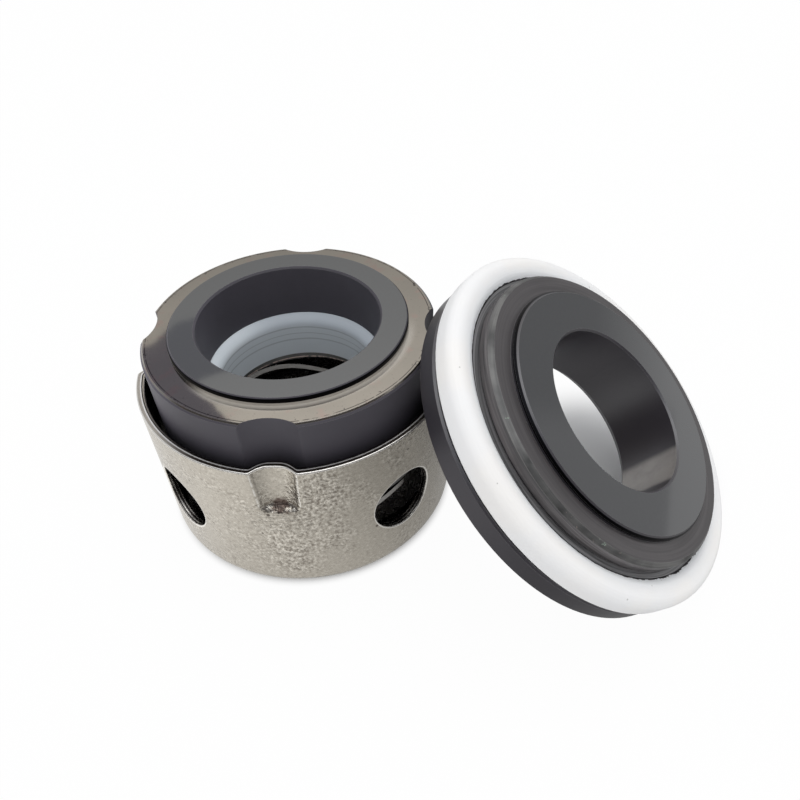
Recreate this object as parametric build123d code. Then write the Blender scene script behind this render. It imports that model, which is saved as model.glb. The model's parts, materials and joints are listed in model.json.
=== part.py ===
"""Component mechanical seal: a rotary head standing on its base and its stationary seat leaning on it.

Units are mm, +Z is up. The origin is the centre of the head's base, on the axis of the head.
The head's dents lie on the X and Y axes and its windows halfway between them.
"""
from build123d import *

import math
import os

shaft_d = 22.0           # nominal shaft

# ---- head: stamped retainer shell ----
shell_wall = 1.1
shell_bend_r = 1.7       # outside radius between wall and base
shell_rim_r = 0.25       # rounding of the rim
base_hole_gap = 1.0      # radial, shaft to the hole in the base
window_d = 9.7
window_z = 11.3
window_edge_r = 0.2      # rounding of the outside edge
drive_count = 4          # dents, each with its notch, and the windows between them
dent_h = 7.1             # from the lower end of a dent to the rim
dent_depth = 2.2
dent_floor_w = 2.7       # flat part of the floor
dent_flare = 34.0        # slope of the flanks away from the radius, deg
dent_r = 0.7             # rounding between floor and flanks, outside
dent_end_r = 0.5         # rounding between the channel and its lower end, outside
dent_blend_r = 1.2       # rounding where a dent meets the wall, outside
dent_valley_r = 0.3      # the same, inside

# ---- head: wave spring ----
spring_h = 10.8          # working height
spring_strip_t = 0.9
spring_strip_w = 3.3
spring_side_gap = 1.2    # radial, spring to the shell
spring_end_gap = 0.05
spring_nest_gap = 0.06   # crest to crest
spring_turn_waves = 3.5
spring_total_waves = 7.5
spring_end_azimuth = -34.0

# ---- head: thrust ring ----
thrust_t = 1.2
thrust_h = 3.6           # underside of the flange to the top of the collar
thrust_web = 1.3         # radial width of the sloping web
thrust_shaft_gap = 0.5   # radial
thrust_shell_gap = 1.3   # radial
thrust_collar_w = 2.1

# ---- head: rotary face ring ----
ring_shell_gap = 1.1     # radial
ring_thrust_gap = 0.3    # above the thrust ring's flange
ring_lip_h = 1.2         # height of the lip below the notches
ring_stand = 6.0         # from the shell's rim to the top of the notched body
ring_shoulder_w = 3.65   # radial, around the nose
nose_w = 3.75            # radial
nose_h = 1.05
nose_shaft_gap = 1.4     # radial, shaft to the bore of the nose
ring_chamfer = 0.4
nose_chamfer = 0.25
notch_gap = 0.42         # notch floor to the inside of the dent
notch_r = 6.3
stop_gap = 0.3           # lip of the ring under the dents, at the top of the travel

# ---- head: PTFE wedge ----
shaft_clearance = 0.03   # radial, wedge bore to shaft
wedge_w = 4.0            # radial
wedge_seat_gap = 0.04    # to the ring's taper and bore
wedge_skirt_h = 3.2      # height of the cylindrical outside
wedge_bore_h = 5.1       # height of the cylindrical bore
wedge_h = 6.8

# ---- stationary seat and its PTFE ring ----
seat_shaft_gap = 0.5     # radial
seat_face_w = 5.82       # radial
seat_face_chamfer = 0.45
seat_nose_h = 0.93
seat_shoulder_w = 3.08   # radial, around the nose
seat_hub_h = 1.97
seat_hub_chamfer = 0.55
seat_groove_depth = 0.3
seat_groove_w = 0.4
seat_land_step = 0.7     # radial, hub to the land that carries the PTFE ring
seat_land_h = 3.12
seat_flange_t = 3.8
seat_flange_edge = 0.25
seat_back_chamfer = 1.1
seat_bore_chamfer = 0.9
gasket_w = 3.75          # radial
gasket_overhang = 0.3    # radial, beyond the flange
gasket_gap = 0.04
gasket_crown = 0.75      # height of the crown over the land
gasket_edge = 0.75       # chamfer of the rear edge

# ---- how the seat leans ----
lean_azimuth = -17.5     # direction in which the seat's face looks, deg
lean_elevation = 51.4    # angle of the seat's axis above the floor, deg
lean_side = 3.6          # sideways distance of the seat's centre from the head's axis
lean_gap = 0.35          # seat's back to the edge of the face ring

# ---- sizes that follow: the head from the shaft outwards ----
shaft_r = shaft_d / 2
thrust_bore_r = shaft_r + thrust_shaft_gap
wedge_bore_r = shaft_r + shaft_clearance
wedge_r = shaft_r + wedge_w
nose_bore_r = shaft_r + nose_shaft_gap
nose_r = nose_bore_r + nose_w
ring_r = nose_r + ring_shoulder_w
shell_bore_r = ring_r + ring_shell_gap
shell_r = shell_bore_r + shell_wall
dent_floor_r = shell_r - dent_depth

# ---- the head from its base upwards ----
thrust_flange_z = shell_wall + spring_h + 2 * spring_end_gap
thrust_top_z = thrust_flange_z + thrust_h
wedge_shoulder_z = thrust_top_z + wedge_skirt_h
wedge_tip_z = thrust_top_z + wedge_h
ring_bottom_z = thrust_flange_z + thrust_t + ring_thrust_gap
ring_lip_z = ring_bottom_z + ring_lip_h
dent_end_z = ring_lip_z + stop_gap + shell_wall
shell_h = dent_end_z + dent_h
ring_top_z = shell_h + ring_stand
nose_top_z = ring_top_z + nose_h

# ---- the seat, with its back face at z = 0 ----
seat_bore_r = shaft_r + seat_shaft_gap
seat_face_r = seat_bore_r + seat_face_w
seat_nose_r = seat_face_r + seat_face_chamfer
seat_hub_r = seat_nose_r + seat_shoulder_w
seat_land_r = seat_hub_r + seat_land_step
gasket_r = seat_land_r + gasket_w
seat_flange_r = gasket_r - gasket_overhang
seat_land_z = seat_flange_t + seat_land_h
seat_hub_z = seat_land_z + seat_groove_w
seat_step_z = seat_hub_z + seat_hub_h
seat_face_z = seat_step_z + seat_nose_h


def turned(points):
    """Solid of revolution about Z from (radius, z) points."""
    outline = Polyline(*[(r, 0, z) for r, z in points], close=True)
    return revolve(make_face(outline), Axis.Z)


def around(shape, start=0.0):
    """One copy of the shape for each drive dent."""
    step = 360.0 / drive_count
    return [Rot(0, 0, start + step * i) * shape for i in range(drive_count)]


def dent_tool(growth):
    """Upright channel with a flat floor, sloping flanks and a rounded lower end, grown all round."""
    bottom, top = dent_end_z - growth, shell_h + dent_h
    near, far = dent_floor_r + dent_r, shell_r + dent_depth
    half = dent_floor_w / 2
    wide = half + (far - near) * math.tan(math.radians(dent_flare))
    core = make_face(Polyline((near, half), (far, wide), (far, -wide), (near, -half), close=True))
    plan = offset(core, amount=dent_r + growth, kind=Kind.ARC)
    body = Pos(0, 0, bottom) * extrude(plan, top - bottom)
    return fillet(body.edges().group_by(Axis.Z)[0], dent_end_r + growth)


def dented(radius, bottom, top, bend_r, blend_r, growth):
    """Round block with a rounded bottom edge and the dents pressed into its side."""
    block = Pos(0, 0, (bottom + top) / 2) * Cylinder(radius, top - bottom)
    block -= around(dent_tool(growth))
    on_wall = [e for e in block.edges() if all(abs(math.hypot((e @ t).X, (e @ t).Y) - radius) < 0.02
                                               for t in (0, 0.3, 0.7, 1))]
    mouths = [e for e in on_wall if dent_end_z - growth < (e @ 0.5).Z + 0.01 < top]
    block = fillet(mouths, blend_r)
    return fillet(block.edges().sort_by(Axis.Z)[0], bend_r)


def make_shell():
    shell = dented(shell_r, 0, shell_h, shell_bend_r, dent_blend_r, 0)
    shell -= dented(shell_bore_r, shell_wall, shell_h + shell_wall, shell_bend_r - shell_wall, dent_valley_r,
                    shell_wall)
    shell = fillet(shell.edges().filter_by_position(Axis.Z, shell_h, shell_h), shell_rim_r)
    shell -= Cylinder(shaft_r + base_hole_gap, 4 * shell_wall)
    window = Pos(shell_r, 0, window_z) * Rot(0, 90, 0) * Cylinder(window_d / 2, 4 * shell_wall)
    shell -= around(window, 180.0 / drive_count)
    rims = shell.edges().filter_by(lambda e: e.is_closed and e.bounding_box().size.Z > window_d / 2)
    outside = rims.sort_by_distance((0, 0, window_z), reverse=True)[:drive_count]
    return fillet(outside, window_edge_r)


def make_spring():
    """Flat strip wound edgewise in waves that meet crest to crest."""
    outer = shell_bore_r - spring_side_gap
    inner = outer - spring_strip_w
    middle = (inner + outer) / 2
    turns = spring_total_waves / spring_turn_waves
    pitch = (spring_h + spring_nest_gap) / (turns + 1)
    swing = (pitch - spring_strip_t - spring_nest_gap) / 2
    low = shell_wall + spring_end_gap

    def edge(radius, lift):
        count = round(12 * spring_total_waves)
        points = []
        for i in range(count + 1):
            s = turns * i / count
            a = math.radians(spring_end_azimuth - 360 * (turns - s))
            wave = swing * (1 - math.cos(2 * math.pi * spring_turn_waves * s))
            points.append((radius * math.cos(a), radius * math.sin(a), low + pitch * s + wave + lift))
        return Spline(*points)

    corners = [edge(inner, 0), edge(inner, spring_strip_t), edge(outer, spring_strip_t), edge(outer, 0)]
    sides = [Face.make_surface_from_curves(a, b) for a, b in zip(corners, corners[1:] + corners[:1])]
    ends = [make_face(Polyline(*[c @ k for c in corners], close=True)) for k in (0, 1)]
    strip = Solid(Shell(sides + ends))

    # both ends of the strip are rounded off
    r = spring_strip_w / 2
    back = math.degrees(r / middle)
    height = 2 * spring_strip_t
    for azimuth, z, way in ((spring_end_azimuth, low + spring_h, 1),
                            (spring_end_azimuth - 360 * turns, low + spring_strip_t, -1)):
        block = Pos(0, way * 2 * r, 0) * Box(4 * r, 4 * r, height) - Cylinder(r, 2 * height)
        strip -= Rot(0, 0, azimuth - way * back) * Pos(middle, 0, z - spring_strip_t / 2) * block
    return strip


def make_thrust_ring():
    collar_r = thrust_bore_r + thrust_collar_w
    web_r = collar_r + thrust_web
    flange_r = shell_bore_r - thrust_shell_gap
    low, high = thrust_flange_z, thrust_top_z
    under = thrust_t * math.tan(math.radians(30))
    return turned([
        (thrust_bore_r, high - thrust_t), (collar_r - under, high - thrust_t), (web_r - under, low),
        (flange_r, low), (flange_r, low + thrust_t), (web_r, low + thrust_t), (collar_r, high),
        (thrust_bore_r, high)])


def make_face_ring():
    pocket_r = wedge_r + wedge_seat_gap
    taper_rise = 2 * wedge_seat_gap
    ring = turned([
        (pocket_r, ring_bottom_z), (ring_r - ring_chamfer, ring_bottom_z), (ring_r, ring_bottom_z + ring_chamfer),
        (ring_r, ring_top_z - ring_chamfer), (ring_r - ring_chamfer, ring_top_z), (nose_r, ring_top_z),
        (nose_r, nose_top_z - nose_chamfer), (nose_r - nose_chamfer, nose_top_z),
        (nose_bore_r + nose_chamfer, nose_top_z), (nose_bore_r, nose_top_z - nose_chamfer),
        (nose_bore_r, wedge_tip_z + taper_rise), (pocket_r, wedge_shoulder_z + taper_rise)])
    notch_h = ring_top_z - ring_lip_z + notch_r
    notch_floor_r = dent_floor_r - shell_wall - notch_gap
    notch = Pos(notch_floor_r + notch_r, 0, ring_lip_z + notch_h / 2) * Cylinder(notch_r, notch_h)
    return ring - around(notch)


def make_wedge():
    tip_r = nose_bore_r - wedge_seat_gap
    lip_z = thrust_top_z + wedge_bore_h
    side = Polyline((wedge_bore_r, 0, lip_z), (wedge_bore_r, 0, thrust_top_z), (wedge_r, 0, thrust_top_z),
                    (wedge_r, 0, wedge_shoulder_z), (tip_r, 0, wedge_tip_z))
    bulge = (wedge_bore_r + 0.3 * (tip_r - wedge_bore_r), 0, lip_z + 0.62 * (wedge_tip_z - lip_z))
    crown = ThreePointArc((tip_r, 0, wedge_tip_z), bulge, (wedge_bore_r, 0, lip_z))
    return revolve(make_face(side + crown), Axis.Z)


def make_seat():
    groove_r = seat_hub_r - seat_groove_depth
    edge = seat_flange_edge
    return turned([
        (seat_bore_r, seat_bore_chamfer), (seat_bore_r + seat_bore_chamfer, 0),
        (seat_flange_r - seat_back_chamfer, 0), (seat_flange_r, seat_back_chamfer),
        (seat_flange_r, seat_flange_t - edge), (seat_flange_r - edge, seat_flange_t), (seat_land_r, seat_flange_t),
        (seat_land_r, seat_land_z), (groove_r, seat_land_z), (groove_r, seat_hub_z), (seat_hub_r, seat_hub_z),
        (seat_hub_r, seat_step_z - seat_hub_chamfer), (seat_hub_r - seat_hub_chamfer, seat_step_z),
        (seat_nose_r, seat_step_z), (seat_nose_r, seat_face_z - seat_face_chamfer), (seat_face_r, seat_face_z),
        (seat_bore_r + edge, seat_face_z), (seat_bore_r, seat_face_z - edge)])


def make_gasket():
    inner, outer = seat_land_r + gasket_gap, gasket_r
    low, high = seat_flange_t + gasket_gap, seat_land_z - gasket_gap
    width, middle, top = outer - inner, (low + high) / 2, high + gasket_crown
    base = Polyline((inner, 0, high), (inner, 0, low), (outer - gasket_edge, 0, low),
                    (outer, 0, low + gasket_edge), (outer, 0, middle))
    crown = Spline((outer, 0, middle), (outer - 0.06 * width, 0, high + 0.07 * gasket_crown),
                   (outer - 0.32 * width, 0, top), (outer - 0.65 * width, 0, top - 0.11 * gasket_crown),
                   (inner, 0, high), tangents=[(0, 0, 1), (-1, 0, -0.75)])
    return revolve(make_face(base + crown), Axis.Z)


def lean_location():
    """From seat coordinates (back face at z = 0) to the seat on the floor and against the face ring."""
    a, e = math.radians(lean_azimuth), math.radians(lean_elevation)
    reach = math.cos(e) * (ring_r - ring_chamfer) + math.sin(e) * ring_top_z + lean_gap
    z = (seat_flange_r - seat_back_chamfer) * math.cos(e)
    u = (reach - math.sin(e) * z) / math.cos(e)
    origin = (u * math.cos(a) - lean_side * math.sin(a), u * math.sin(a) + lean_side * math.cos(a), z)
    normal = (math.cos(e) * math.cos(a), math.cos(e) * math.sin(a), math.sin(e))
    return Plane(origin=origin, x_dir=(-math.sin(a), math.cos(a), 0), z_dir=normal).location


def main():
    os.makedirs("parts", exist_ok=True)
    lean = lean_location()
    parts = {
        "retainer_shell": make_shell(),
        "wave_spring": make_spring(),
        "thrust_ring": make_thrust_ring(),
        "rotary_face_ring": make_face_ring(),
        "ptfe_wedge": make_wedge(),
        "stationary_seat": lean * make_seat(),
        "ptfe_seat_ring": lean * make_gasket(),
    }
    for name, shape in parts.items():
        export_step(shape, f"parts/{name}.step")


main()
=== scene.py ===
"""Looks for the component mechanical seal: its materials, the floor, the light and the camera.

Everything is in metres in the CAD frame: +Z up, the origin at the centre of the head's base.
Two pieces stand for CAD nodes: drawn_shell, the retainer with the photo's rounder dents, and
sprung_strip, a copy of the wave spring's CAD mesh on the retainer.
"""

import json
import math

import bmesh
import bpy
from mathutils import Matrix, Vector
from mathutils.geometry import delaunay_2d_cdt

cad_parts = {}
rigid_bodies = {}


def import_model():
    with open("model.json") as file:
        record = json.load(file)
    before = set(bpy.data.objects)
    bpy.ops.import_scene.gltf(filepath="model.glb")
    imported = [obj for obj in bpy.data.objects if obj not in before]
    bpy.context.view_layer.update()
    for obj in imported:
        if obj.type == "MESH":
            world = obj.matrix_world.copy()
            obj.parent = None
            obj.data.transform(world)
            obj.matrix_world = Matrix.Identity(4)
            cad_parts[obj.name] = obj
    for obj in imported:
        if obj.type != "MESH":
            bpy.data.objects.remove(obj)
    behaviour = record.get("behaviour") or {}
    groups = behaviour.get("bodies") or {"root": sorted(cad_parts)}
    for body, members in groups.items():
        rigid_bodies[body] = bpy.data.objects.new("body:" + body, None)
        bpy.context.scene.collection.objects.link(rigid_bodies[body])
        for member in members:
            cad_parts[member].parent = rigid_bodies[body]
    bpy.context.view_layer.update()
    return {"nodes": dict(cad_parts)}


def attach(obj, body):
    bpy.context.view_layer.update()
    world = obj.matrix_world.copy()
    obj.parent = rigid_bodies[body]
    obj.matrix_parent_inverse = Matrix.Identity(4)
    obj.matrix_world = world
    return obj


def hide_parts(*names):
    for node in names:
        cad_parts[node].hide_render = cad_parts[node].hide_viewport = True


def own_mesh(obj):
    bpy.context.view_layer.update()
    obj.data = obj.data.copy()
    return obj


MM = 0.001

for leftover in list(bpy.data.objects):
    bpy.data.objects.remove(leftover)
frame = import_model()

# ---------------------------------------------------------------- measures shared with the CAD
# The retainer's wall, in mm, because its mesh is drawn in mm.
WALL_R = 22.0                   # outside
WALL_T = 1.1
WALL_TOP = 23.2
BEND_R = 1.7                    # outside radius between the wall and the base
BASE_HOLE_R = 12.0
HOLE_R = 4.85                   # the round windows
HOLE_Z = 11.3
DENT_FOOT_Z = 15.95
DENT_HALVES = (2.6, 2.95)       # half widths of a dent at its foot and at the rim

# Everything else, in metres.
SHELL_R = WALL_R * MM
SHELL_H = WALL_TOP * MM
WINDOW_R = HOLE_R * MM
WINDOW_Z = HOLE_Z * MM
RING_TOP = 29.2 * MM            # the face ring's flange
RING_R = 19.8 * MM
NOSE_R = 16.15 * MM
NOSE_TOP = 30.25 * MM
NOSE_FOOT_Z = 29.6 * MM         # a level surface above this belongs to the nose
THRUST_EDGE_Z = 14.35 * MM      # the rough lower edge of the thrust ring
WEDGE_LIP_Z = 20.70 * MM        # foot of the wedge's rounded lip
SEAT_BACK = Vector((37.1911, -7.9516, 14.9107)) * MM      # centre of the seat's back face
SEAT_AXIS = Vector((0.595005, -0.187604, 0.781520))
SEAT_DOWN = Vector((0.735, -0.270, -0.620))               # across the seat, to its lower right
SEAT_BORE_R = 11.5 * MM
SEAT_NOSE_R = 17.77 * MM
SEAT_HUB_R = 20.85 * MM
SEAT_LAND_Z = 6.92 * MM         # heights on the seat run along its axis from its back face
SEAT_HUB_Z = 7.32 * MM
SEAT_STEP_Z = 9.29 * MM
SEAT_T = 10.22 * MM
GASKET_R = 21.7 * MM            # inner edge of the white ring


class Graph:
    """Short names for the nodes of one tree."""

    def __init__(self, tree):
        self.tree = tree
        tree.nodes.clear()

    def node(self, kind, **settings):
        n = self.tree.nodes.new(kind)
        for name, value in settings.items():
            setattr(n, name, value)
        return n

    def put(self, socket, value):
        """Links a socket or sets a plain value."""
        if isinstance(value, bpy.types.NodeSocket):
            self.tree.links.new(value, socket)
        elif value is not None:
            if isinstance(value, tuple) and len(value) == 3 and socket.type == "RGBA":
                value = (*value, 1.0)
            socket.default_value = value

    def math(self, op, a, b=None):
        n = self.node("ShaderNodeMath", operation=op)
        for socket, value in zip(n.inputs, (a, b)):
            self.put(socket, value)
        return n.outputs[0]

    def add(self, a, b):
        return self.math("ADD", a, b)

    def sub(self, a, b):
        return self.math("SUBTRACT", a, b)

    def mul(self, first, *factors):
        out = first
        for factor in factors:
            out = self.math("MULTIPLY", out, factor)
        return out

    def most(self, first, *others):
        out = first
        for other in others:
            out = self.math("MAXIMUM", out, other)
        return out

    def outside(self, mask):
        """A mask turned round: 0 where it was 1."""
        return self.sub(1.0, mask)

    def vec(self, op, a, b=None, scale=None):
        n = self.node("ShaderNodeVectorMath", operation=op)
        self.put(n.inputs[0], a)
        self.put(n.inputs[1], b)
        if scale is not None:
            self.put(n.inputs["Scale"], scale)
        return n.outputs["Value" if op in ("DOT_PRODUCT", "LENGTH", "DISTANCE") else "Vector"]

    def dim(self, colour, scale):
        return self.vec("SCALE", colour, scale=scale)

    def split(self, vector):
        n = self.node("ShaderNodeSeparateXYZ")
        self.put(n.inputs[0], vector)
        return n.outputs

    def join(self, x, y, z):
        n = self.node("ShaderNodeCombineXYZ")
        for socket, value in zip(n.inputs, (x, y, z)):
            self.put(socket, value)
        return n.outputs[0]

    def ramp(self, value, low, high, out_low=0.0, out_high=1.0, kind="SMOOTHSTEP"):
        """value from low to high becomes out_low to out_high, held beyond."""
        n = self.node("ShaderNodeMapRange", interpolation_type=kind)
        for socket, v in zip(n.inputs, (value, low, high, out_low, out_high)):
            self.put(socket, v)
        return n.outputs[0]

    def line(self, value, low, high, out_low, out_high):
        """The same, in a straight line."""
        return self.ramp(value, low, high, out_low, out_high, "LINEAR")

    def band(self, value, low, high, soft):
        """1 between low and high, 0 outside, with soft edges."""
        rise = self.ramp(value, low - soft, low + soft)
        return self.mul(rise, self.ramp(value, high - soft, high + soft, 1, 0))

    def mix(self, factor, a, b):
        """Colour a where factor is 0, b where it is 1."""
        n = self.node("ShaderNodeMix", data_type="RGBA")
        self.put(n.inputs[0], factor)
        self.put(n.inputs[6], a)
        self.put(n.inputs[7], b)
        return n.outputs[2]

    def either(self, factor, a, b):
        """Shader node a where factor is 0, b where it is 1."""
        n = self.node("ShaderNodeMixShader")
        for socket, value in zip(n.inputs, (factor, a.outputs[0], b.outputs[0])):
            self.put(socket, value)
        return n.outputs[0]

    def noise(self, vector, scale, detail=3.0, roughness=0.5, distortion=0.0):
        n = self.node("ShaderNodeTexNoise")
        self.put(n.inputs["Vector"], vector)
        n.inputs["Scale"].default_value = scale
        n.inputs["Detail"].default_value = detail
        n.inputs["Roughness"].default_value = roughness
        n.inputs["Distortion"].default_value = distortion
        return n.outputs["Fac"]

    def pits(self, p, scale, size):
        """A few round spots, 1 inside; size is a share of the distance between cells."""
        n = self.node("ShaderNodeTexVoronoi")
        self.put(n.inputs["Vector"], p)
        n.inputs["Scale"].default_value = scale
        return self.ramp(n.outputs["Distance"], size * 0.7, size, 1, 0)

    def bump(self, height, distance, under=None):
        n = self.node("ShaderNodeBump")
        n.inputs["Strength"].default_value = 1.0
        n.inputs["Distance"].default_value = distance
        self.put(n.inputs["Height"], height)
        self.put(n.inputs["Normal"], under)
        return n.outputs[0]

    def object_point(self):
        return self.node("ShaderNodeTexCoord").outputs["Object"]

    def normal(self):
        return self.node("ShaderNodeNewGeometry").outputs["Normal"]

    def attribute(self, name):
        return self.node("ShaderNodeAttribute", attribute_name=name).outputs["Fac"]

    def edge_and_rounding(self, radius):
        """1 along edges, 0 on flat and gently curved surface; and the rounded normal."""
        n = self.node("ShaderNodeBevel", samples=4)
        self.put(n.inputs["Radius"], radius)
        rounded = n.outputs[0]
        straight = self.vec("DOT_PRODUCT", rounded, self.normal())
        return self.ramp(straight, 0.90, 0.985, 1, 0), rounded

    def head_point(self):
        """A point's position, radius and height on the head."""
        p = self.object_point()
        x, y, z = self.split(p)
        return p, x, y, z, self.vec("LENGTH", self.join(x, y, 0.0))

    def seat_point(self):
        """A point's place from the seat's back face, its radius and height there, and how far
        its surface faces along the axis."""
        p = self.object_point()
        axis = tuple(SEAT_AXIS)
        off = self.vec("SUBTRACT", p, tuple(SEAT_BACK))
        height = self.vec("DOT_PRODUCT", off, axis)
        across = self.vec("SUBTRACT", off, self.dim(axis, height))
        facing = self.vec("DOT_PRODUCT", self.normal(), axis)
        return p, off, self.vec("LENGTH", across), height, facing


def add_object(name, data):
    o = bpy.data.objects.new(name, data)
    bpy.context.scene.collection.objects.link(o)
    return o


def material(name, build, **constants):
    """A material with one Principled node: build(graph) returns the sockets for its inputs,
    constants go on the node itself."""
    m = bpy.data.materials.new(name)
    m.use_nodes = True
    g = Graph(m.node_tree)
    out = g.node("ShaderNodeOutputMaterial")
    p = g.node("ShaderNodeBsdfPrincipled")
    g.tree.links.new(p.outputs[0], out.inputs[0])
    for socket, value in constants.items():
        g.put(p.inputs[socket.replace("_", " ")], value)
    for socket, value in build(g).items():
        g.put(p.inputs[socket], value)
    return m


def dress(piece, m):
    """Gives a piece its material."""
    for slot in piece.material_slots:
        slot.material = m


# ---------------------------------------------------------------- camera
CAMERA_AT = Vector((18.570, -77.296, 85.675)) * MM
CAMERA_RIGHT = Vector((0.99868, 0.03587, -0.03677))
CAMERA_UP = Vector((-0.00102, 0.72955, 0.68393))


def make_camera():
    """The camera as it was fitted to the photo's circles."""
    data = bpy.data.cameras.new("camera")
    data.sensor_fit = "HORIZONTAL"
    data.sensor_width = 36.0
    data.lens = 31.687
    data.shift_x = 0.01183
    data.shift_y = 0.0700
    data.clip_start = 0.005
    data.clip_end = 20.0
    right = CAMERA_RIGHT.normalized()
    back = right.cross(CAMERA_UP).normalized()
    turn = Matrix((right, back.cross(right), back)).transposed().to_4x4()
    camera = add_object("camera", data)
    camera.matrix_world = Matrix.Translation(CAMERA_AT) @ turn
    bpy.context.scene.camera = camera


make_camera()
bpy.context.scene.view_settings.view_transform = "Standard"


# ---------------------------------------------------------------- world
def make_world():
    """White to the camera, a soft even sky to matt surfaces, and a plain studio to glossy ones.

    The studio has a bright panel behind with a dark screen at its left end, a dark room in front
    and a pale ceiling. Azimuths run from +X towards +Y; both angles are in degrees.
    """
    w = bpy.data.worlds.new("studio")
    bpy.context.scene.world = w
    w.use_nodes = True
    w.cycles.sampling_method = "NONE"
    g = Graph(w.node_tree)
    direction = g.node("ShaderNodeTexCoord").outputs["Generated"]
    x, y, z = g.split(direction)
    azimuth = g.mul(g.math("ARCTAN2", y, x), 180 / math.pi)
    elevation = g.mul(g.math("ARCSINE", z), 180 / math.pi)

    def patch(colour, azimuths, elevations, soft, tone):
        """colour with a soft-edged rectangle of another tone."""
        inside = g.mul(g.band(azimuth, *azimuths, soft[0]), g.band(elevation, *elevations, soft[1]))
        return g.mix(inside, colour, tone)

    room = (0.50, 0.52, 0.56)
    colour = patch(room, (-178, -8), (2, 56), (8, 4), (0.13, 0.125, 0.13))      # dark, in front
    colour = patch(colour, (118, 172), (6, 64), (2, 4), (0.66, 0.67, 0.70))     # pale, at the left
    panel = g.dim((1.0, 0.985, 0.96), g.line(elevation, 29, 44, 0.60, 1.22))
    colour = patch(colour, (60, 124), (8, 66), (3, 4), panel)

    # the dark screen at the panel's left end: its right edge leans and steps, its foot slopes
    ragged = g.line(g.noise(direction, 110, 3, 0.6), 0.3, 0.7, -0.16, 0.16)
    lean = g.line(elevation, 39.3, 44.3, 0, -3.5)
    start = g.add(g.ramp(elevation, 37.9, 38.3, 109, 113.4), lean)
    right_of_start = g.ramp(g.add(g.sub(azimuth, start), ragged), -0.05, 0.05)
    foot = g.add(g.line(azimuth, 113.5, 116.5, 33.6, 34.7), g.mul(ragged, 0.5))
    above_foot = g.ramp(g.sub(elevation, foot), -0.05, 0.05)
    far_ends = g.mul(g.ramp(azimuth, 122, 126, 1, 0), g.ramp(elevation, 58, 64, 1, 0))
    screen = g.mul(right_of_start, above_foot, far_ends)
    colour = g.mix(screen, colour, (0.265, 0.262, 0.320))

    # a low card at the right, which darkens upwards
    near_end = g.ramp(elevation, 2.3, 2.5, 0.70, 0.40)
    far_end = g.line(elevation, 2.5, 8.5, 0.68, 0.23)
    card = g.mix(g.ramp(azimuth, 29, 33), near_end, far_end)
    colour = patch(colour, (8, 56), (-3, 24), (4, 2), card)
    colour = g.mix(g.ramp(elevation, 56, 72), colour, (0.95, 1.0, 1.08))        # ceiling
    colour = g.mix(g.ramp(elevation, -1, 1, 1, 0), colour, (0.72, 0.72, 0.72))  # below the floor

    path = g.node("ShaderNodeLightPath")
    sky = g.dim((0.985, 1.0, 1.02), g.line(elevation, -10, 60, 0.76, 0.86))
    colour = g.mix(path.outputs["Is Diffuse Ray"], colour, sky)
    lit = g.node("ShaderNodeBackground")
    g.put(lit.inputs[0], colour)
    white = g.node("ShaderNodeBackground")
    g.put(white.inputs[0], (1.0, 1.0, 1.0))
    shown = g.either(path.outputs["Is Camera Ray"], lit, white)
    g.put(g.node("ShaderNodeOutputWorld").inputs[0], shown)


make_world()


def area_lamp(name, at, aim, size, power, colour):
    """A round lamp at one point that shines at another."""
    lamp = bpy.data.lights.new(name, "AREA")
    lamp.shape = "DISK"
    lamp.size = size
    lamp.energy = power
    lamp.color = colour
    turn = (Vector(aim) - Vector(at)).to_track_quat("-Z", "Y").to_matrix().to_4x4()
    add_object(name, lamp).matrix_world = Matrix.Translation(at) @ turn


area_lamp("overhead", at=(0.05, 0.05, 0.60), aim=(0.02, 0, 0.015), size=0.45, power=0.85,
          colour=(1, 0.99, 0.97))


# ---------------------------------------------------------------- floor
FLOOR_HALF = 1.5
SEAT_SHADOW_AT = (47 * MM, 2 * MM, 0)       # the middle of the seat's shadow


def make_floor():
    """Pale paper. Around the object it shows as plain white with a faint shadow; near the
    object and below it, it is lit like any paper."""
    mesh = bpy.data.meshes.new("floor")
    half = FLOOR_HALF
    corners = [(-half, -half, 0), (half, -half, 0), (half, half, 0), (-half, half, 0)]
    mesh.from_pydata(corners, [], [(0, 1, 2, 3)])
    floor = add_object("floor", mesh)
    m = bpy.data.materials.new("floor")
    m.use_nodes = True
    g = Graph(m.node_tree)
    p = g.object_point()
    clear_of_head = g.ramp(g.vec("LENGTH", p), 20.5 * MM, 22.8 * MM)
    clear_of_seat = g.ramp(g.vec("DISTANCE", p, SEAT_SHADOW_AT), 10 * MM, 20 * MM)
    clear = g.mul(clear_of_head, clear_of_seat)
    paper = g.node("ShaderNodeBsdfDiffuse")
    g.put(paper.inputs[0], (0.86, 0.86, 0.86))
    path = g.node("ShaderNodeLightPath")
    glossy_ray = path.outputs["Is Glossy Ray"]
    seen = g.most(path.outputs["Is Camera Ray"], glossy_ray, path.outputs["Is Transmission Ray"])
    white = g.node("ShaderNodeEmission")
    g.put(white.inputs[0], (1.0, 1.0, 1.0))
    # metal sees the floor darker towards the seat
    in_metal = g.line(g.split(p)[0], -22 * MM, 30 * MM, 1.0, 0.42)
    g.put(white.inputs[1], g.add(g.mul(glossy_ray, in_metal), g.outside(glossy_ray)))
    shown = g.either(g.mul(seen, 0.97, clear), paper, white)
    g.put(g.node("ShaderNodeOutputMaterial").inputs[0], shown)
    mesh.materials.append(m)


make_floor()


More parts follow.
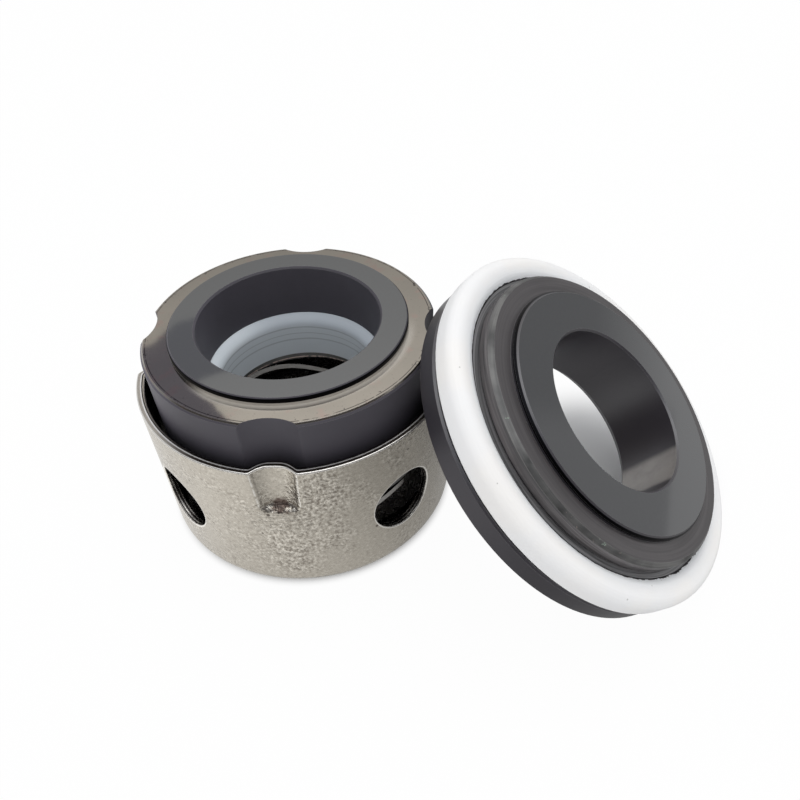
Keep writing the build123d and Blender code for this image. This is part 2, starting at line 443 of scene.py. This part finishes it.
# ---------------------------------------------------------------- retainer shell, all in mm
RIM_EDGE_R = 0.18
HOLE_EDGE_R = 0.2
DENT_SHELF = 0.75               # height over which the foot of a dent deepens
DENT_DEPTHS = (1.2, 1.45)       # at the foot and at the rim
DENT_FALL = 2.9                 # power of the trough's section; 2 would be a parabola
OUTER_BLEND, INNER_BLEND = 0.13, 0.22       # how softly a dent's shoulders meet the wall
INNER_WIDER = 0.10              # how much wider a dent is inside
BASE_MIDDLE_R = 16.0            # a row of vertices between the base's hole and the bend
# across the rim: distance from the bore over the wall, and drop
RIM_STEPS = ((0.75, 0.0), (0.36, 0.0), (0.30, 0.07), (0.12, 0.09), (0.04, 0.14))

# the mesh: fine columns and rows at the dents, wide ones elsewhere
QUARTER = math.pi / 2
FINE_COLUMN, WIDE_COLUMN = 0.16, 0.50
FINE_TO = 3.6                   # distance from a dent's middle
FINE_ROW, WIDE_ROW = 0.2, 0.5
FINE_ABOVE_Z = 15.2
HOLE_POINTS = 72
HOLE_RINGS = ((0.3, 0.5), (0.75, 0.0))      # rings of points round a hole: distance, turn in steps
HOLE_CLEAR = 1.05               # no grid points nearer to the hole's edge than this
EDGE_STEPS, BEND_STEPS, INNER_BEND_STEPS = 4, 8, 6
SHARP = math.radians(32)


def smooth(t):
    return t * t * (3 - 2 * t)


def between(pair, share):
    return pair[0] + (pair[1] - pair[0]) * share


def dent_depth(s, z, blend, wider):
    """Depth of a dent at arc distance s from its middle: a round trough whose shoulders blend
    into the wall."""
    rise = min(max((z - DENT_FOOT_Z) / (WALL_TOP - DENT_FOOT_Z), 0.0), 1.0)
    half = between(DENT_HALVES, rise) + wider
    depth = between(DENT_DEPTHS, rise)
    along = (z - DENT_FOOT_Z + wider) / DENT_SHELF
    if abs(s) > half + 4 * blend or along <= 0.0:
        return 0.0
    low = depth * (1 - (abs(s) / half) ** DENT_FALL)
    trough = blend * math.log(1 + math.exp(low / blend))
    return min(trough, depth) * smooth(min(along, 1.0))


def outer_dent(s, z):
    return dent_depth(s, z, OUTER_BLEND, 0.0)


def inner_dent(s, z):
    return dent_depth(s, z, INNER_BLEND, INNER_WIDER)


def from_dent(angle):
    """Arc distance from the nearest dent's middle, in a quarter."""
    return (angle if angle < QUARTER / 2 else angle - QUARTER) * WALL_R


def columns():
    """The angles of a quarter's columns, the same from both of its dents."""
    steps = []
    a = 0.0
    while a < QUARTER / 2 - 1e-6:
        steps.append(a)
        a += (FINE_COLUMN if a * WALL_R < FINE_TO else WIDE_COLUMN) / WALL_R
    return steps + [QUARTER / 2] + [QUARTER - v for v in reversed(steps)]


def rows(low, high):
    heights = [low]
    while heights[-1] < high - 0.3:
        z = heights[-1]
        heights.append(z + (FINE_ROW if z > FINE_ABOVE_Z else WIDE_ROW))
    return heights + [high]


def round_hole(radius, hole_r, turn=0.0):
    """Angle and height of points on a hole's edge, on a wall of that radius."""
    points = []
    for k in range(HOLE_POINTS):
        phi = 2 * math.pi * (k + turn) / HOLE_POINTS
        points.append((QUARTER / 2 + math.asin(hole_r * math.cos(phi) / radius),
                       HOLE_Z + hole_r * math.sin(phi)))
    return points


def from_hole(angle, z, radius):
    return math.hypot(radius * math.sin(angle - QUARTER / 2), z - HOLE_Z)


def make_shell():
    """One quarter from the middle of a dent to the middle of the next, with its window, then
    four of them joined."""
    angles = columns()
    low, high = BEND_R, WALL_TOP - RIM_EDGE_R - 0.02
    heights = rows(low, high)
    bm = bmesh.new()
    across = bm.verts.layers.float.new("across_rim")

    def vert(angle, r, z, t=0.0):
        v = bm.verts.new((r * math.cos(angle) * MM, r * math.sin(angle) * MM, z * MM))
        v[across] = t
        return v

    def strip(a_row, b_row):
        for i in range(len(a_row) - 1):
            bm.faces.new((a_row[i], a_row[i + 1], b_row[i + 1], b_row[i]))
        return b_row

    def sheet(radius, hole_r, dent):
        """The wall's grid at one radius with its round hole: the ring of vertices round the
        hole, and the lowest and highest rows."""
        loop = round_hole(radius, hole_r)
        flat = []
        for extra, turn in HOLE_RINGS:
            flat += round_hole(radius, hole_r + extra, turn)
        for z in heights:
            flat += [(v, z) for v in angles if from_hole(v, z, radius) > hole_r + HOLE_CLEAR]
        points = [Vector((angle * radius, z)) for angle, z in loop + flat]
        edges = [(k, (k + 1) % HOLE_POINTS) for k in range(HOLE_POINTS)]
        placed, _, faces, origins, _, _ = delaunay_2d_cdt(points, edges, [], 0, 1e-5)
        made = []
        for q in placed:
            angle = q.x / radius
            made.append(vert(angle, radius - dent(from_dent(angle), q.y), q.y))
        for face in faces:
            centre = sum((placed[i] for i in face), Vector((0, 0))) / len(face)
            if from_hole(centre.x / radius, centre.y, radius) > hole_r * 0.999:
                bm.faces.new([made[i] for i in face])
        where = {o: made[i] for i, found in enumerate(origins) for o in found}

        def row_at(z):
            return [v for _, v in sorted((q.x, made[i]) for i, q in enumerate(placed)
                                         if abs(q.y - z) < 1e-4)]
        return [where[k] for k in range(HOLE_POINTS)], row_at(low), row_at(high)

    outer_r, inner_r = WALL_R, WALL_R - WALL_T
    outer_ring, outer_low, outer_high = sheet(outer_r, HOLE_R + HOLE_EDGE_R, outer_dent)
    inner_ring, inner_low, inner_high = sheet(inner_r, HOLE_R, inner_dent)

    # the window's rounded edge and its cut wall
    row = outer_ring
    for k in range(1, EDGE_STEPS + 1):
        t = k / EDGE_STEPS * QUARTER
        radius = outer_r - HOLE_EDGE_R * (1 - math.cos(t))
        edge = round_hole(radius, HOLE_R + HOLE_EDGE_R * (1 - math.sin(t)))
        new = [vert(angle, radius, z) for angle, z in edge]
        strip(row + row[:1], new + new[:1])
        row = new
    strip(row + row[:1], inner_ring + inner_ring[:1])

    # over the rim, from the outside to the bore
    profile = []
    for k in range(1, EDGE_STEPS + 1):
        t = k / EDGE_STEPS * QUARTER
        profile.append((WALL_T - RIM_EDGE_R * (1 - math.cos(t)), RIM_EDGE_R * (1 - math.sin(t))))
    row = outer_high
    for over_bore, drop in profile + list(RIM_STEPS):
        share = over_bore / WALL_T
        new = []
        for angle in angles:
            s = from_dent(angle)
            pressed = share * outer_dent(s, WALL_TOP) + (1 - share) * inner_dent(s, WALL_TOP)
            new.append(vert(angle, inner_r + over_bore - pressed, WALL_TOP - drop, 1 - share))
        row = strip(row, new)
    strip(row, inner_high)

    # down round the bend, under the base, up through its hole and back to the wall
    section = []
    for k in range(1, BEND_STEPS + 1):
        t = k / BEND_STEPS * QUARTER
        section.append((outer_r - BEND_R * (1 - math.cos(t)), BEND_R * (1 - math.sin(t))))
    section += [(BASE_MIDDLE_R, 0.0), (BASE_HOLE_R + 0.2, 0.0), (BASE_HOLE_R + 0.05, 0.05),
                (BASE_HOLE_R, 0.2), (BASE_HOLE_R, WALL_T - 0.15), (BASE_HOLE_R + 0.15, WALL_T),
                (BASE_MIDDLE_R, WALL_T)]
    inner_bend = BEND_R - WALL_T
    for k in range(INNER_BEND_STEPS):
        t = k / INNER_BEND_STEPS * QUARTER
        section.append((inner_r - inner_bend * (1 - math.sin(t)),
                        WALL_T + inner_bend * (1 - math.cos(t))))
    row = outer_low
    for r, z in section:
        row = strip(row, [vert(v, r, z) for v in angles])
    strip(row, inner_low)

    one = bm.verts[:] + bm.edges[:] + bm.faces[:]
    for turn in range(1, 4):
        copy = bmesh.ops.duplicate(bm, geom=one)["geom"]
        moved = [v for v in copy if isinstance(v, bmesh.types.BMVert)]
        spin = Matrix.Rotation(turn * QUARTER, 3, "Z")
        bmesh.ops.rotate(bm, verts=moved, cent=(0, 0, 0), matrix=spin)
    bmesh.ops.remove_doubles(bm, verts=bm.verts, dist=2e-7)
    bmesh.ops.recalc_face_normals(bm, faces=bm.faces)
    for f in bm.faces:
        f.smooth = True
    mesh = bpy.data.meshes.new("drawn_shell")
    bm.to_mesh(mesh)
    bm.free()
    mesh.set_sharp_from_angle(angle=SHARP)
    shell = add_object("drawn_shell", mesh)
    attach(shell, "retainer")
    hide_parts("retainer_shell")
    return shell


def make_spring():
    """The wave spring on its CAD solid's own shape, as a copy on the retainer."""
    spring = add_object("sprung_strip", frame["nodes"]["wave_spring"].data.copy())
    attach(spring, "retainer")
    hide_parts("wave_spring")
    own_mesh(spring)
    return spring


# ---------------------------------------------------------------- materials
SHADOW_BLACK = (0.006, 0.006, 0.007)        # the walls of both noses


def shell_steel(g):
    """Tumbled sheet: a pebbled skin that is coarse beside the dents, dark spots at their feet, and
    a sheared rim; light and shade are painted on the pebbles, the dents' shoulders, the rim, the
    inside and the windows."""
    p, x, y, z, r = g.head_point()
    nx, ny, _ = g.split(g.normal())
    outward = g.math("DIVIDE", g.add(g.mul(nx, x), g.mul(ny, y)), r)
    facing_out = g.ramp(outward, 0.0, 0.2)
    quarter = g.mul(g.math("ARCTAN2", y, x), 2 / math.pi)
    # along the wall from the nearest dent
    beside = g.mul(g.sub(quarter, g.math("ROUND", quarter)), SHELL_R * math.pi / 2)
    rim = g.ramp(z, SHELL_H - 0.20 * MM, SHELL_H - 0.16 * MM)
    facing_in = g.ramp(outward, -0.35, -0.1, 1, 0)
    within = g.ramp(r, SHELL_R - 1.4 * MM, SHELL_R - 1.7 * MM)
    inner = g.mul(g.most(facing_in, within), g.outside(rim))
    half_turn = g.sub(quarter, g.math("FLOOR", quarter))            # 0.5 in the middle of a window
    side = g.mul(g.math("SINE", g.mul(g.sub(half_turn, 0.5), math.pi / 2)), r)
    from_window = g.vec("LENGTH", g.join(side, g.sub(z, WINDOW_Z), 0.0))
    cut = g.mul(g.ramp(from_window, WINDOW_R + 0.03 * MM, WINDOW_R, 0, 1),
                g.ramp(r, SHELL_R - 0.2 * MM, SHELL_R - 0.3 * MM))

    # relief: pebbles, fine grain, and folds where the dents were pressed
    cloud = g.noise(p, 70, 4, 0.6)
    patchy = g.noise(p, 210, 3, 0.6)
    right_of_dent = g.mul(g.band(beside, 1.5 * MM, 8.5 * MM, 2.0 * MM),
                          g.ramp(z, 4 * MM, 12 * MM))
    below_dent = g.mul(g.band(beside, -3.5 * MM, 5 * MM, 2.0 * MM),
                       g.band(z, 4 * MM, 16 * MM, 3 * MM))
    coarse = g.mul(g.most(right_of_dent, below_dent), 0.36)
    coarse = g.add(coarse, g.ramp(patchy, 0.40, 0.66, 0.22, 0.52))
    coarse = g.mul(coarse, g.outside(rim))
    pebbles = g.noise(p, 2300, 2, 0.55)
    grain = g.noise(p, 5200, 2, 0.6)
    folds = g.noise(g.vec("MULTIPLY", p, (700.0, 700.0, 2600.0)), 1.0, 2, 0.5, 0.6)
    at_foot = g.mul(g.band(beside, -4.5 * MM, 3.5 * MM, 1.2 * MM),
                    g.band(z, 12.5 * MM, 17.2 * MM, 1.2 * MM))
    height = g.add(g.mul(pebbles, coarse), g.mul(folds, at_foot, 0.8))
    height = g.mul(g.add(height, g.mul(grain, 0.06)), g.outside(g.most(inner, cut)))
    normal = g.bump(height, 0.00028)

    # skin: pebbles with a painted highlight on their crests and painted shade in their hollows, and
    # painted shade darkening the skin towards the seat
    colour = g.mix(cloud, (0.475, 0.438, 0.375), (0.600, 0.558, 0.485))
    pebble_shading = g.mul(g.line(pebbles, 0.34, 0.66, -1.0, 1.0), coarse)
    colour = g.mix(g.ramp(pebble_shading, 0.0, 0.80), colour, (0.84, 0.79, 0.70))
    colour = g.mix(g.ramp(pebble_shading, 0.0, -0.80), colour, (0.30, 0.264, 0.222))
    # painted shade: darker towards the seat
    colour = g.dim(colour, g.ramp(x, 8 * MM, 20 * MM, 1.0, 0.80))

    # dents: a painted highlight line on each shoulder with a painted shade line just inside it, and
    # a dark spot at the foot
    half = g.line(z, DENT_FOOT_Z * MM, SHELL_H, DENT_HALVES[0] * MM, DENT_HALVES[1] * MM)
    in_from = g.sub(half, g.math("ABSOLUTE", beside))
    on_shoulder = g.mul(g.band(z, (DENT_FOOT_Z + 0.9) * MM, SHELL_H - 0.3 * MM, 0.1 * MM),
                        facing_out)
    broken = g.ramp(g.noise(p, 1100, 3, 0.6), 0.40, 0.52)
    right_half = g.ramp(beside, 0, 0.1 * MM)
    shoulder_highlight = g.mul(g.band(in_from, -0.10 * MM, 0.08 * MM, 0.05 * MM), g.most(broken, right_half))
    crease_shade = g.mul(g.band(in_from, 0.22 * MM, 0.40 * MM, 0.05 * MM),
                 g.most(g.mul(broken, 0.5), right_half))
    colour = g.mix(g.mul(shoulder_highlight, on_shoulder, 0.8), colour, (0.92, 0.89, 0.83))
    colour = g.mix(g.mul(crease_shade, on_shoulder, 0.75), colour, (0.13, 0.115, 0.10))
    spot = g.join(g.mul(beside, 1 / (1.25 * MM)),
                  g.mul(g.sub(z, (DENT_FOOT_Z + 0.8) * MM), 1 / (0.95 * MM)), 0.0)
    uneven = g.line(g.noise(p, 1500, 3, 0.6), 0.3, 0.7, -0.35, 0.35)
    dark_foot_spot = g.mul(g.ramp(g.add(g.vec("LENGTH", spot), uneven), 0.55, 1.25, 1, 0), facing_out)
    colour = g.mix(g.mul(dark_foot_spot, 0.85), colour, (0.13, 0.085, 0.070))

    # dark pits, with the photo's one by the right window
    far_off = g.vec("ADD", p, (0.31, 0.17, 0.05))
    photo_pit = g.vec("DISTANCE", p, (16.17 * MM, -14.92 * MM, 20.45 * MM))
    marks = g.most(g.pits(p, 150, 0.045), g.pits(far_off, 260, 0.05),
                   g.ramp(photo_pit, 0.12 * MM, 0.2 * MM, 1, 0))
    colour = g.mix(g.mul(marks, 0.8), colour, (0.08, 0.06, 0.05))

    # rim, from the outside (0) to the bore (1): a painted reflection, light at the left and dark
    # elsewhere, with a painted dark band near the bore and painted highlight lines beside it and on
    # the outer edge
    over = g.attribute("across_rim")
    painted_reflection = g.mix(g.noise(p, 900, 3, 0.6), (0.022, 0.017, 0.014), (0.075, 0.060, 0.050))
    rim_reflection_left = g.mix(g.noise(p, 500, 3, 0.6), (0.42, 0.385, 0.33), (0.60, 0.56, 0.50))
    rim_light_and_shade = g.mix(g.ramp(x, -17 * MM, -9 * MM), rim_reflection_left, painted_reflection)
    rim_light_and_shade = g.mix(g.band(over, 0.68, 0.80, 0.02), rim_light_and_shade, (0.03, 0.025, 0.02))
    rim_light_and_shade = g.mix(g.band(over, 0.50, 0.66, 0.02), rim_light_and_shade, (0.95, 0.93, 0.90))
    rim_light_and_shade = g.mix(g.ramp(over, 0.13, 0.18, 1, 0), rim_light_and_shade, (0.95, 0.92, 0.86))
    colour = g.mix(rim, colour, rim_light_and_shade)
    # painted shade darkens the inside of the shell
    colour = g.mix(inner, colour, (0.10, 0.095, 0.09))

    # windows: painted shade darkens the sheared wall, which has two painted highlight lines, and a
    # painted highlight lies on the lip outside
    sheared = g.mix(cloud, (0.045, 0.04, 0.038), (0.085, 0.075, 0.07))
    for depth_from, depth_to, bright in ((0.40, 0.58, (0.85, 0.82, 0.76)),
                                         (0.90, 1.02, (0.60, 0.57, 0.52))):
        here = g.band(r, SHELL_R - depth_to * MM, SHELL_R - depth_from * MM, 0.03 * MM)
        sheared = g.mix(here, sheared, bright)
    colour = g.mix(cut, colour, sheared)
    # painted highlight on the lip round each window
    lip = g.mul(g.band(from_window, WINDOW_R + 0.02 * MM, WINDOW_R + 0.24 * MM, 0.04 * MM),
                g.ramp(r, SHELL_R - 0.4 * MM, SHELL_R - 0.25 * MM))
    colour = g.mix(lip, colour, (0.95, 0.92, 0.86))
    rough = g.add(g.line(grain, 0.3, 0.7, 0.22, 0.32), g.mul(g.most(dark_foot_spot, rim), 0.12))
    return {"Base Color": colour, "Roughness": rough, "Normal": normal}


def spring_steel(g):
    """Rolled strip with fine streaks along it."""
    p = g.object_point()
    streaks = g.noise(g.vec("MULTIPLY", p, (160.0, 160.0, 3000.0)), 1.0, 3, 0.6)
    colour = g.mix(streaks, (0.30, 0.29, 0.275), (0.50, 0.485, 0.465))
    rough = g.line(g.noise(p, 1400, 2, 0.5), 0.3, 0.7, 0.18, 0.30)
    return {"Base Color": colour, "Roughness": rough, "Normal": g.bump(streaks, 0.00002)}


def thrust_steel(g):
    """Dull pressed steel, with a painted highlight on its rough lower edge in the bore."""
    p = g.object_point()
    z = g.split(p)[2]
    colour = g.mix(g.noise(p, 300, 4, 0.6), (0.15, 0.148, 0.146), (0.24, 0.235, 0.228))
    # painted highlight: a pinkish bright band on the rough lower edge
    edge = g.mul(g.ramp(g.noise(p, 1300, 3, 0.6), 0.35, 0.55),
                 g.band(z, THRUST_EDGE_Z - 0.25 * MM, THRUST_EDGE_Z + 0.25 * MM, 0.1 * MM))
    colour = g.mix(edge, colour, (0.80, 0.66, 0.60))
    rough = g.line(g.noise(p, 1600, 2, 0.5), 0.3, 0.7, 0.28, 0.44)
    return {"Base Color": colour, "Roughness": rough,
            "Normal": g.bump(g.noise(p, 2600, 2, 0.5), 0.00002)}


def ring_carbide(g):
    """Ground flange, bright; lapped nose, grey; matt sides, near black; small chips along the
    flange's edge."""
    p, x, y, z, r = g.head_point()
    nz = g.split(g.normal())[2]
    up = g.ramp(nz, 0.95, 0.985)
    nose_high = g.ramp(z, NOSE_FOOT_Z, NOSE_FOOT_Z + 0.1 * MM)
    nose = g.mul(up, nose_high)
    slope = g.mul(g.band(nz, 0.4, 0.93, 0.03),
                  g.band(z, RING_TOP - 0.18 * MM, RING_TOP + 0.2 * MM, 0.02 * MM))
    flange = g.most(g.mul(up, g.outside(nose_high)), slope)

    # sides and flange; painted light brightens the sides, up to twice, towards the left
    cloud = g.noise(p, 160, 4, 0.6)
    fine = g.noise(p, 2600, 3, 0.7)
    tint = g.noise(p, 420, 3, 0.6)
    side = g.mix(cloud, (0.054, 0.049, 0.061), (0.072, 0.066, 0.080))
    # painted light: the sides brighten towards the left
    side = g.dim(side, g.ramp(x, -19 * MM, -10 * MM, 2.0, 1.0))
    ground = g.mix(cloud, (0.29, 0.270, 0.240), (0.365, 0.335, 0.295))
    ground = g.mix(g.ramp(tint, 0.52, 0.68), ground, (0.345, 0.285, 0.255))
    ground = g.mix(g.mul(g.ramp(fine, 0.40, 0.28), 0.6), ground, (0.20, 0.185, 0.17))
    colour = g.mix(flange, side, ground)

    # in front, painted light makes the flange paler beside the nose
    right_part = g.ramp(x, -12 * MM, -8 * MM)
    by_nose = g.ramp(r, NOSE_R + 0.1 * MM, NOSE_R + 1.3 * MM, 1, 0)
    beside_wall = g.mul(by_nose, g.ramp(y, 2 * MM, -4 * MM), flange, right_part)
    colour = g.mix(beside_wall, colour, (0.50, 0.465, 0.415))
    colour = g.mix(nose, colour, g.mix(fine, (0.122, 0.124, 0.126), (0.136, 0.138, 0.140)))

    # chips and a scribed line near the flange's edge
    chips = g.mul(g.ramp(g.noise(p, 1900, 3, 0.7), 0.60, 0.66),
                  g.band(r, RING_R - 1.0 * MM, RING_R - 0.45 * MM, 0.12 * MM))
    scribed = g.mul(g.ramp(g.noise(p, 500, 3, 0.6), 0.38, 0.47),
                    g.band(r, RING_R - 0.74 * MM, RING_R - 0.64 * MM, 0.03 * MM))
    colour = g.mix(g.mul(g.most(chips, scribed), flange), colour, (0.05, 0.045, 0.045))
    rough = g.add(0.52, g.mul(g.add(flange, nose), -0.475))
    rough = g.add(rough, g.line(fine, 0.3, 0.7, -0.01, 0.01))
    rough = g.add(rough, g.mul(g.most(slope, beside_wall), 0.14))

    # edges: broadly rounded on the sides, sharp above with a painted highlight along them; not in
    # the nose's corner
    radius = g.ramp(z, RING_TOP - 1.1 * MM, RING_TOP - 0.7 * MM, 0.55 * MM, 0.06 * MM)
    edge, rounded = g.edge_and_rounding(radius)
    corner = g.mul(g.band(z, RING_TOP - 0.15 * MM, RING_TOP + 0.2 * MM, 0.03 * MM),
                   g.ramp(r, NOSE_R + 0.85 * MM, NOSE_R + 1.15 * MM, 1, 0))
    edge = g.mul(edge, g.ramp(z, RING_TOP - 0.7 * MM, RING_TOP - 0.5 * MM), g.outside(corner))
    colour = g.mix(g.mul(edge, 0.6), colour, (0.26, 0.25, 0.24))

    # the nose's wall: painted shade makes it black, and a painted reflection of the flange lightens
    # its foot except at the left
    on_wall = g.mul(g.ramp(nz, 0.80, 0.90, 1, 0),
                    g.band(r, NOSE_R - 0.3 * MM, NOSE_R + 0.2 * MM, 0.05 * MM))
    on_wall = g.mul(on_wall, g.band(z, RING_TOP, NOSE_TOP - 0.14 * MM, 0.02 * MM))
    foot = g.ramp(z, RING_TOP + 0.30 * MM, RING_TOP + 0.36 * MM, 1, 0)
    foot_reflection = g.mul(on_wall, foot, right_part)
    nose_wall = g.sub(on_wall, foot_reflection)
    colour = g.mix(nose_wall, colour, SHADOW_BLACK)
    colour = g.mix(foot_reflection, colour, (0.42, 0.385, 0.340))
    metal = g.most(g.sub(flange, g.mul(beside_wall, 0.85)), nose_wall, g.mul(nose, 0.5))
    return {"Base Color": colour, "Metallic": metal, "Roughness": rough,
            "Normal": g.bump(g.mul(fine, g.outside(up)), 0.000004, rounded)}


def seat_carbide(g):
    """Lapped face; ground shoulder, land and stripe on the hub's chamfer; matt dark sides."""
    p, off, r, h, facing = g.seat_point()
    forward = g.ramp(facing, 0.92, 0.98)
    face = g.mul(forward, g.ramp(h, SEAT_T - 0.3 * MM, SEAT_T - 0.1 * MM))
    shoulder, land = (g.mul(forward, g.band(h, at - 0.2 * MM, at + 0.2 * MM, 0.05 * MM))
                      for at in (SEAT_STEP_Z, SEAT_LAND_Z))
    flat_side = g.band(facing, -0.3, 0.3, 0.1)
    hub = g.mul(flat_side, g.ramp(h, SEAT_LAND_Z, SEAT_HUB_Z),
                g.ramp(r, SEAT_HUB_R - 1.0 * MM, SEAT_HUB_R - 0.5 * MM))
    bore = g.mul(flat_side, g.ramp(r, SEAT_BORE_R + 0.5 * MM, SEAT_BORE_R + 0.2 * MM))
    stripe = g.mul(g.band(facing, 0.4, 0.9, 0.04), g.ramp(h, SEAT_HUB_Z, SEAT_HUB_Z + 0.3 * MM),
                   g.ramp(h, SEAT_STEP_Z + 0.1 * MM, SEAT_STEP_Z + 0.3 * MM, 1, 0))
    nose_wall = g.mul(g.ramp(facing, 0.80, 0.90, 1, 0),
                      g.ramp(r, SEAT_NOSE_R - 0.5 * MM, SEAT_NOSE_R - 0.4 * MM),
                      g.band(h, SEAT_STEP_Z + 0.30 * MM, SEAT_T - 0.20 * MM, 0.02 * MM))

    cloud = g.noise(p, 160, 4, 0.6)
    fine = g.noise(p, 2600, 3, 0.7)
    px, py, pz = g.split(g.dim(p, 90.0))
    rings_at = g.join(g.add(g.mul(h, 3200.0), px), g.add(g.mul(r, 3200.0), py), pz)
    turned = g.noise(rings_at, 1.0, 2, 0.6)     # rings left by turning

    def rings(faintest, strongest):
        return g.line(turned, 0.34, 0.66, faintest, strongest)

    colour = g.mix(cloud, (0.026, 0.0225, 0.029), (0.040, 0.0355, 0.044))
    colour = g.mix(bore, colour, (0.030, 0.026, 0.033))
    # painted reflection: a light patch on the bore's wall towards the seat's lower right
    toward = g.math("DIVIDE", g.vec("DOT_PRODUCT", off, tuple(SEAT_DOWN)), r)
    painted_reflection = g.mul(g.ramp(toward, 0.950, 0.980),
                   g.ramp(g.noise(p, 300, 3, 0.6), 0.3, 0.6, 0.75, 1.0))
    colour = g.mix(g.mul(bore, painted_reflection), colour, (0.27, 0.25, 0.235))
    hub_colour = g.mix(cloud, (0.070, 0.062, 0.064), (0.098, 0.088, 0.088))
    colour = g.mix(hub, colour, g.dim(hub_colour, rings(0.35, 1.65)))
    # painted shade makes the nose's wall black
    colour = g.mix(nose_wall, colour, SHADOW_BLACK)
    ledge = g.mix(cloud, (0.051, 0.045, 0.047), (0.072, 0.065, 0.066))
    colour = g.mix(shoulder, colour, g.dim(ledge, rings(0.75, 1.25)))
    colour = g.mix(land, colour, g.dim((0.15, 0.147, 0.150), rings(0.35, 1.65)))

    # the stripe: brushed, with painted red and green glints
    glint_mask = g.ramp(g.noise(p, 1500, 3, 0.7), 0.65, 0.71)
    green = g.ramp(g.noise(p, 420, 2, 0.5), 0.46, 0.54)
    glint = g.mix(green, (0.36, 0.26, 0.24), (0.24, 0.31, 0.25))
    brushed = g.mul(g.line(g.noise(p, 170, 3, 0.6), 0.38, 0.62, 0.4, 2.3), rings(0.7, 1.3))
    colour = g.mix(stripe, colour, g.mix(glint_mask, g.dim((0.052, 0.051, 0.049), brushed), glint))
    colour = g.mix(face, colour, g.mix(fine, (0.056, 0.057, 0.060), (0.066, 0.067, 0.070)))
    rough = g.add(0.36, g.mul(face, -0.31))
    rough = g.add(rough, g.line(fine, 0.3, 0.7, -0.015, 0.015))
    rough = g.add(rough, g.mul(stripe, 0.18))
    # a painted highlight along the edges, over the rounded normal
    edge, rounded = g.edge_and_rounding(0.06 * MM)
    colour = g.mix(g.mul(edge, 0.6), colour, (0.26, 0.26, 0.25))
    dull = g.mul(flat_side, 0.40, g.outside(edge), g.outside(g.most(bore, hub)))
    return {"Base Color": colour, "Metallic": g.most(dull, nose_wall), "Roughness": rough,
            "Normal": g.bump(g.mul(fine, g.outside(face)), 0.000004, rounded)}


def turned_lines(g, along, spacing):
    """Fine tool marks, one every spacing."""
    return g.bump(g.math("SINE", g.mul(along, 2 * math.pi / spacing)), 0.000003)


def gasket_ptfe(g):
    """Turned PTFE, warmer outside, with a cooler white painted near the inner edge as shade, a torn
    inner edge and a few specks.
    """
    p, _, r, _, _ = g.seat_point()
    warm = g.ramp(g.noise(p, 90, 3, 0.5), 0.42, 0.62)
    colour = g.mix(warm, (0.895, 0.888, 0.885), (0.915, 0.893, 0.870))
    # painted shade: a cooler white near the inner edge
    inside = g.ramp(r, GASKET_R, GASKET_R + 1.9 * MM, 1, 0)
    colour = g.mix(inside, colour, (0.885, 0.900, 0.915))
    uneven = g.line(g.noise(p, 900, 4, 0.7), 0.3, 0.7, -0.14 * MM, 0.14 * MM)
    torn = g.ramp(g.add(r, uneven), GASKET_R + 0.04 * MM, GASKET_R + 0.08 * MM, 1, 0)
    colour = g.mix(torn, colour, (0.045, 0.042, 0.045))
    specks = g.most(g.pits(p, 260, 0.05), g.pits(g.vec("ADD", p, (0.3, 0.2, 0.1)), 420, 0.06))
    colour = g.mix(g.mul(specks, 0.6), colour, (0.42, 0.40, 0.38))
    rough = g.line(g.noise(p, 800, 3, 0.6), 0.3, 0.7, 0.38, 0.52)
    return {"Base Color": colour, "Roughness": rough, "Normal": turned_lines(g, r, 0.35 * MM)}


def wedge_ptfe(g):
    """White lip over a bore with three grey rings; painted shade tints the white blue, greys the
    lip at the back and greys the bore.
    """
    p = g.object_point()
    x, y, z = g.split(p)
    cloud = g.noise(p, 140, 4, 0.6)
    # painted shade: a bluish white, cooler than the gasket's
    colour = g.mix(cloud, (0.82, 0.89, 0.95), (0.87, 0.93, 0.97))
    down = g.add(g.sub(WEDGE_LIP_Z, z), g.mul(g.sub(cloud, 0.5), 0.3 * MM))
    # painted shade greys the lip at the back
    behind = g.ramp(g.add(y, g.mul(x, 0.6)), 0, 9 * MM)
    behind = g.mul(behind, g.ramp(down, -0.4 * MM, 0.4 * MM, 1, 0))
    colour = g.mix(g.mul(behind, 0.48), colour, (0.36, 0.40, 0.47))
    # painted shade greys the bore below the lip
    in_bore = g.ramp(down, -1.0 * MM, 0.2 * MM)
    colour = g.mix(g.mul(in_bore, 0.34), colour, (0.34, 0.350, 0.355))
    for middle, half in ((0.15, 0.10), (1.25, 0.07), (2.30, 0.12)):
        ring = g.band(down, (middle - half) * MM, (middle + half) * MM, 0.06 * MM)
        colour = g.mix(g.mul(ring, 0.40), colour, (0.25, 0.27, 0.28))
    rough = g.line(cloud, 0.3, 0.7, 0.36, 0.5)
    return {"Base Color": colour, "Roughness": rough, "Normal": turned_lines(g, z, 0.30 * MM)}


shell = make_shell()
shell.data.materials.append(material("shell_steel", shell_steel, Metallic=1.0))
nodes = frame["nodes"]
dress(nodes["thrust_ring"], material("thrust_steel", thrust_steel, Metallic=1.0))
dress(make_spring(), material("spring_steel", spring_steel, Metallic=1.0))
dress(nodes["rotary_face_ring"], material("ring_carbide", ring_carbide, IOR=1.5))
dress(nodes["stationary_seat"], material("seat_carbide", seat_carbide, IOR=1.8))
dress(nodes["ptfe_wedge"], material("wedge_ptfe", wedge_ptfe, IOR=1.35))
dress(nodes["ptfe_seat_ring"],
      material("gasket_ptfe", gasket_ptfe, IOR=1.35, Subsurface_Weight=0.5,
               Subsurface_Scale=0.0012, Subsurface_Radius=(1.0, 1.0, 1.0)))
